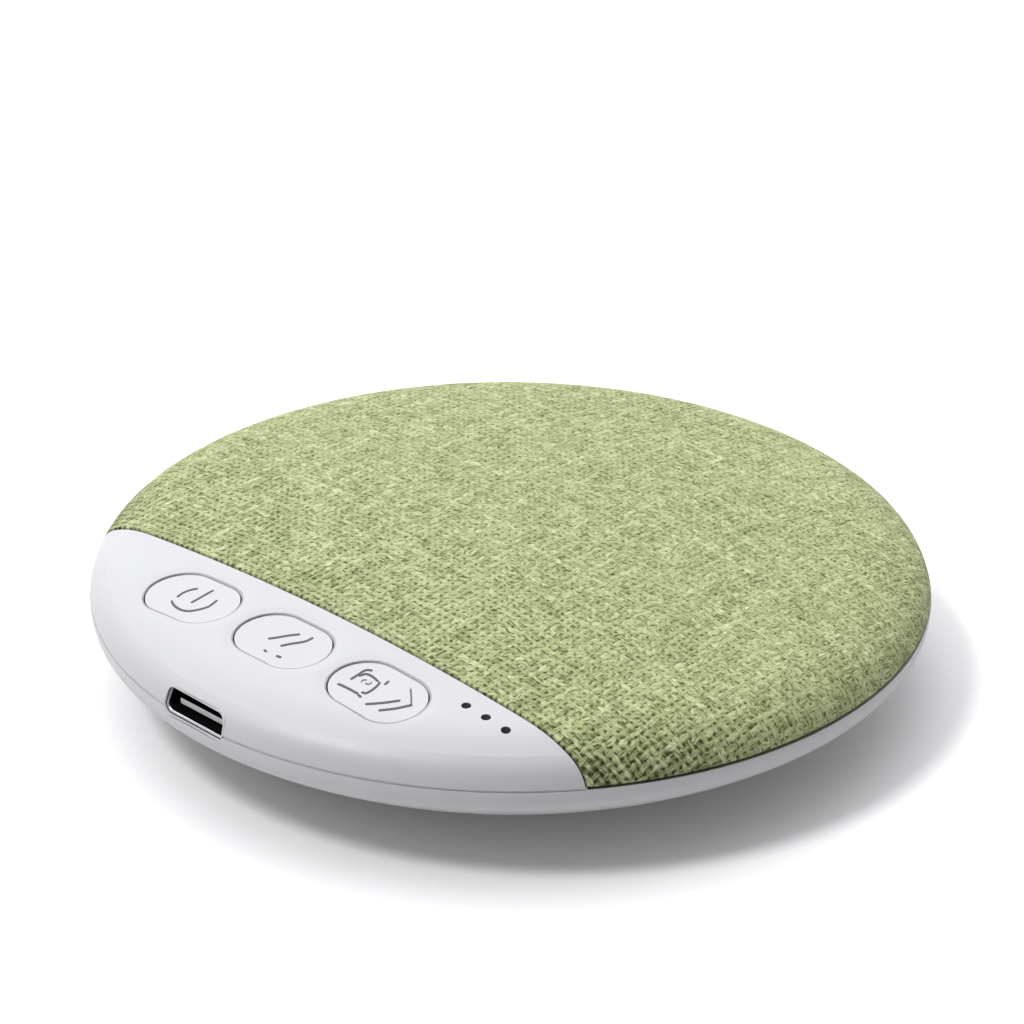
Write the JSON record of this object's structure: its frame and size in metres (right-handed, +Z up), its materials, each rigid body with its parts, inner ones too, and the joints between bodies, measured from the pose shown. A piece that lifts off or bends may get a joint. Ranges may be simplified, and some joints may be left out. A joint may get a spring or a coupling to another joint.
{
  "type": "white noise sound machine",
  "caption": "Slim round white noise speaker with a woven top, a crescent panel of push buttons, indicator holes and a USB-C socket in the rim.",
  "frame": {"origin": "centre of the disc, on the surface that the foot ring stands on", "axes": "+Z up through the woven top; the control panel and the socket face -Y; the button row runs along X"},
  "size_m": [0.1, 0.1, 0.0193],
  "materials": {
    "white_plastic": "satin moulded white plastic",
    "black_plastic": "fine matte black plastic",
    "cloth": "heathered green plain-weave cloth",
    "grey_rubber": "matte light grey rubber",
    "screw_steel": "zinc plated",
    "switch_metal": "stamped and plated",
    "smoked_plastic": "smoked, clear moulding",
    "led_resin": "cast resin",
    "board_laminate": "green solder mask",
    "socket_metal": "drawn and plated",
    "socket_plastic": "light grey moulding",
    "socket_white": "natural nylon",
    "cell_foil": "laminated foil pouch",
    "foam": "closed-cell foam",
    "red_insulation": "soft insulation",
    "black_insulation": "soft insulation",
    "basket_metal": "black coat on pressed steel",
    "magnet_metal": "nickel plated",
    "coil_copper": "enamelled copper wire",
    "cone_paper": "coated paper",
    "surround_rubber": "soft rubber roll",
    "spider_cloth": "resin-dipped cloth",
    "terminal_laminate": "paper laminate"
  },
  "bodies": {
    "case": {"bottom_shell": "white_plastic", "top_frame": "white_plastic", "speaker_grille": "black_plastic", "fabric_cover": "cloth", "foot_ring": "grey_rubber", "case_screws": "screw_steel", "power_switch": "switch_metal", "sound_switch": "switch_metal", "mode_switch": "switch_metal", "light_guide": "smoked_plastic", "indicator_leds": "led_resin", "main_board": "board_laminate", "board_screws": "screw_steel", "usb_c_shell": "socket_metal", "usb_c_tongue": "socket_plastic", "control_chip": "black_plastic", "amplifier_chip": "black_plastic", "board_capacitors": "switch_metal", "battery_socket": "socket_white", "speaker_socket": "socket_white", "battery_cell": "cell_foil", "battery_pad": "foam", "battery_lead_red": "red_insulation", "battery_lead_black": "black_insulation", "speaker_lead_red": "red_insulation", "speaker_lead_black": "black_insulation", "speaker_basket": "basket_metal", "yoke_cup": "switch_metal", "magnet_disc": "magnet_metal", "pole_piece": "switch_metal", "cone_surround": "surround_rubber", "spider": "spider_cloth", "speaker_terminal": "terminal_laminate", "speaker_gasket": "foam", "speaker_screws": "screw_steel"},
    "power_key": {"power_button": "white_plastic", "power_plunger": "black_plastic"},
    "sound_key": {"sound_button": "white_plastic", "sound_plunger": "black_plastic"},
    "mode_key": {"mode_button": "white_plastic", "mode_plunger": "black_plastic"},
    "cone": {"speaker_cone": "cone_paper", "dust_cap": "cone_paper", "voice_coil": "coil_copper"}
  },
  "joints": [
    {"name": "power_press", "type": "slide", "parent": "case", "child": "power_key", "axis": [0, 0, -1], "range_m": [0, 0.00035], "stiffness_N_per_m": 1500},
    {"name": "sound_press", "type": "slide", "parent": "case", "child": "sound_key", "axis": [0, 0, -1], "range_m": [0, 0.00035], "stiffness_N_per_m": 1500},
    {"name": "mode_press", "type": "slide", "parent": "case", "child": "mode_key", "axis": [0, 0, -1], "range_m": [0, 0.00035], "stiffness_N_per_m": 1500},
    {"name": "cone_stroke", "type": "slide", "parent": "case", "child": "cone", "axis": [0, 0, 1], "range_m": [-0.0006, 0.0006], "stiffness_N_per_m": 1500, "deforming": ["cone_surround", "spider"]}
  ]
}
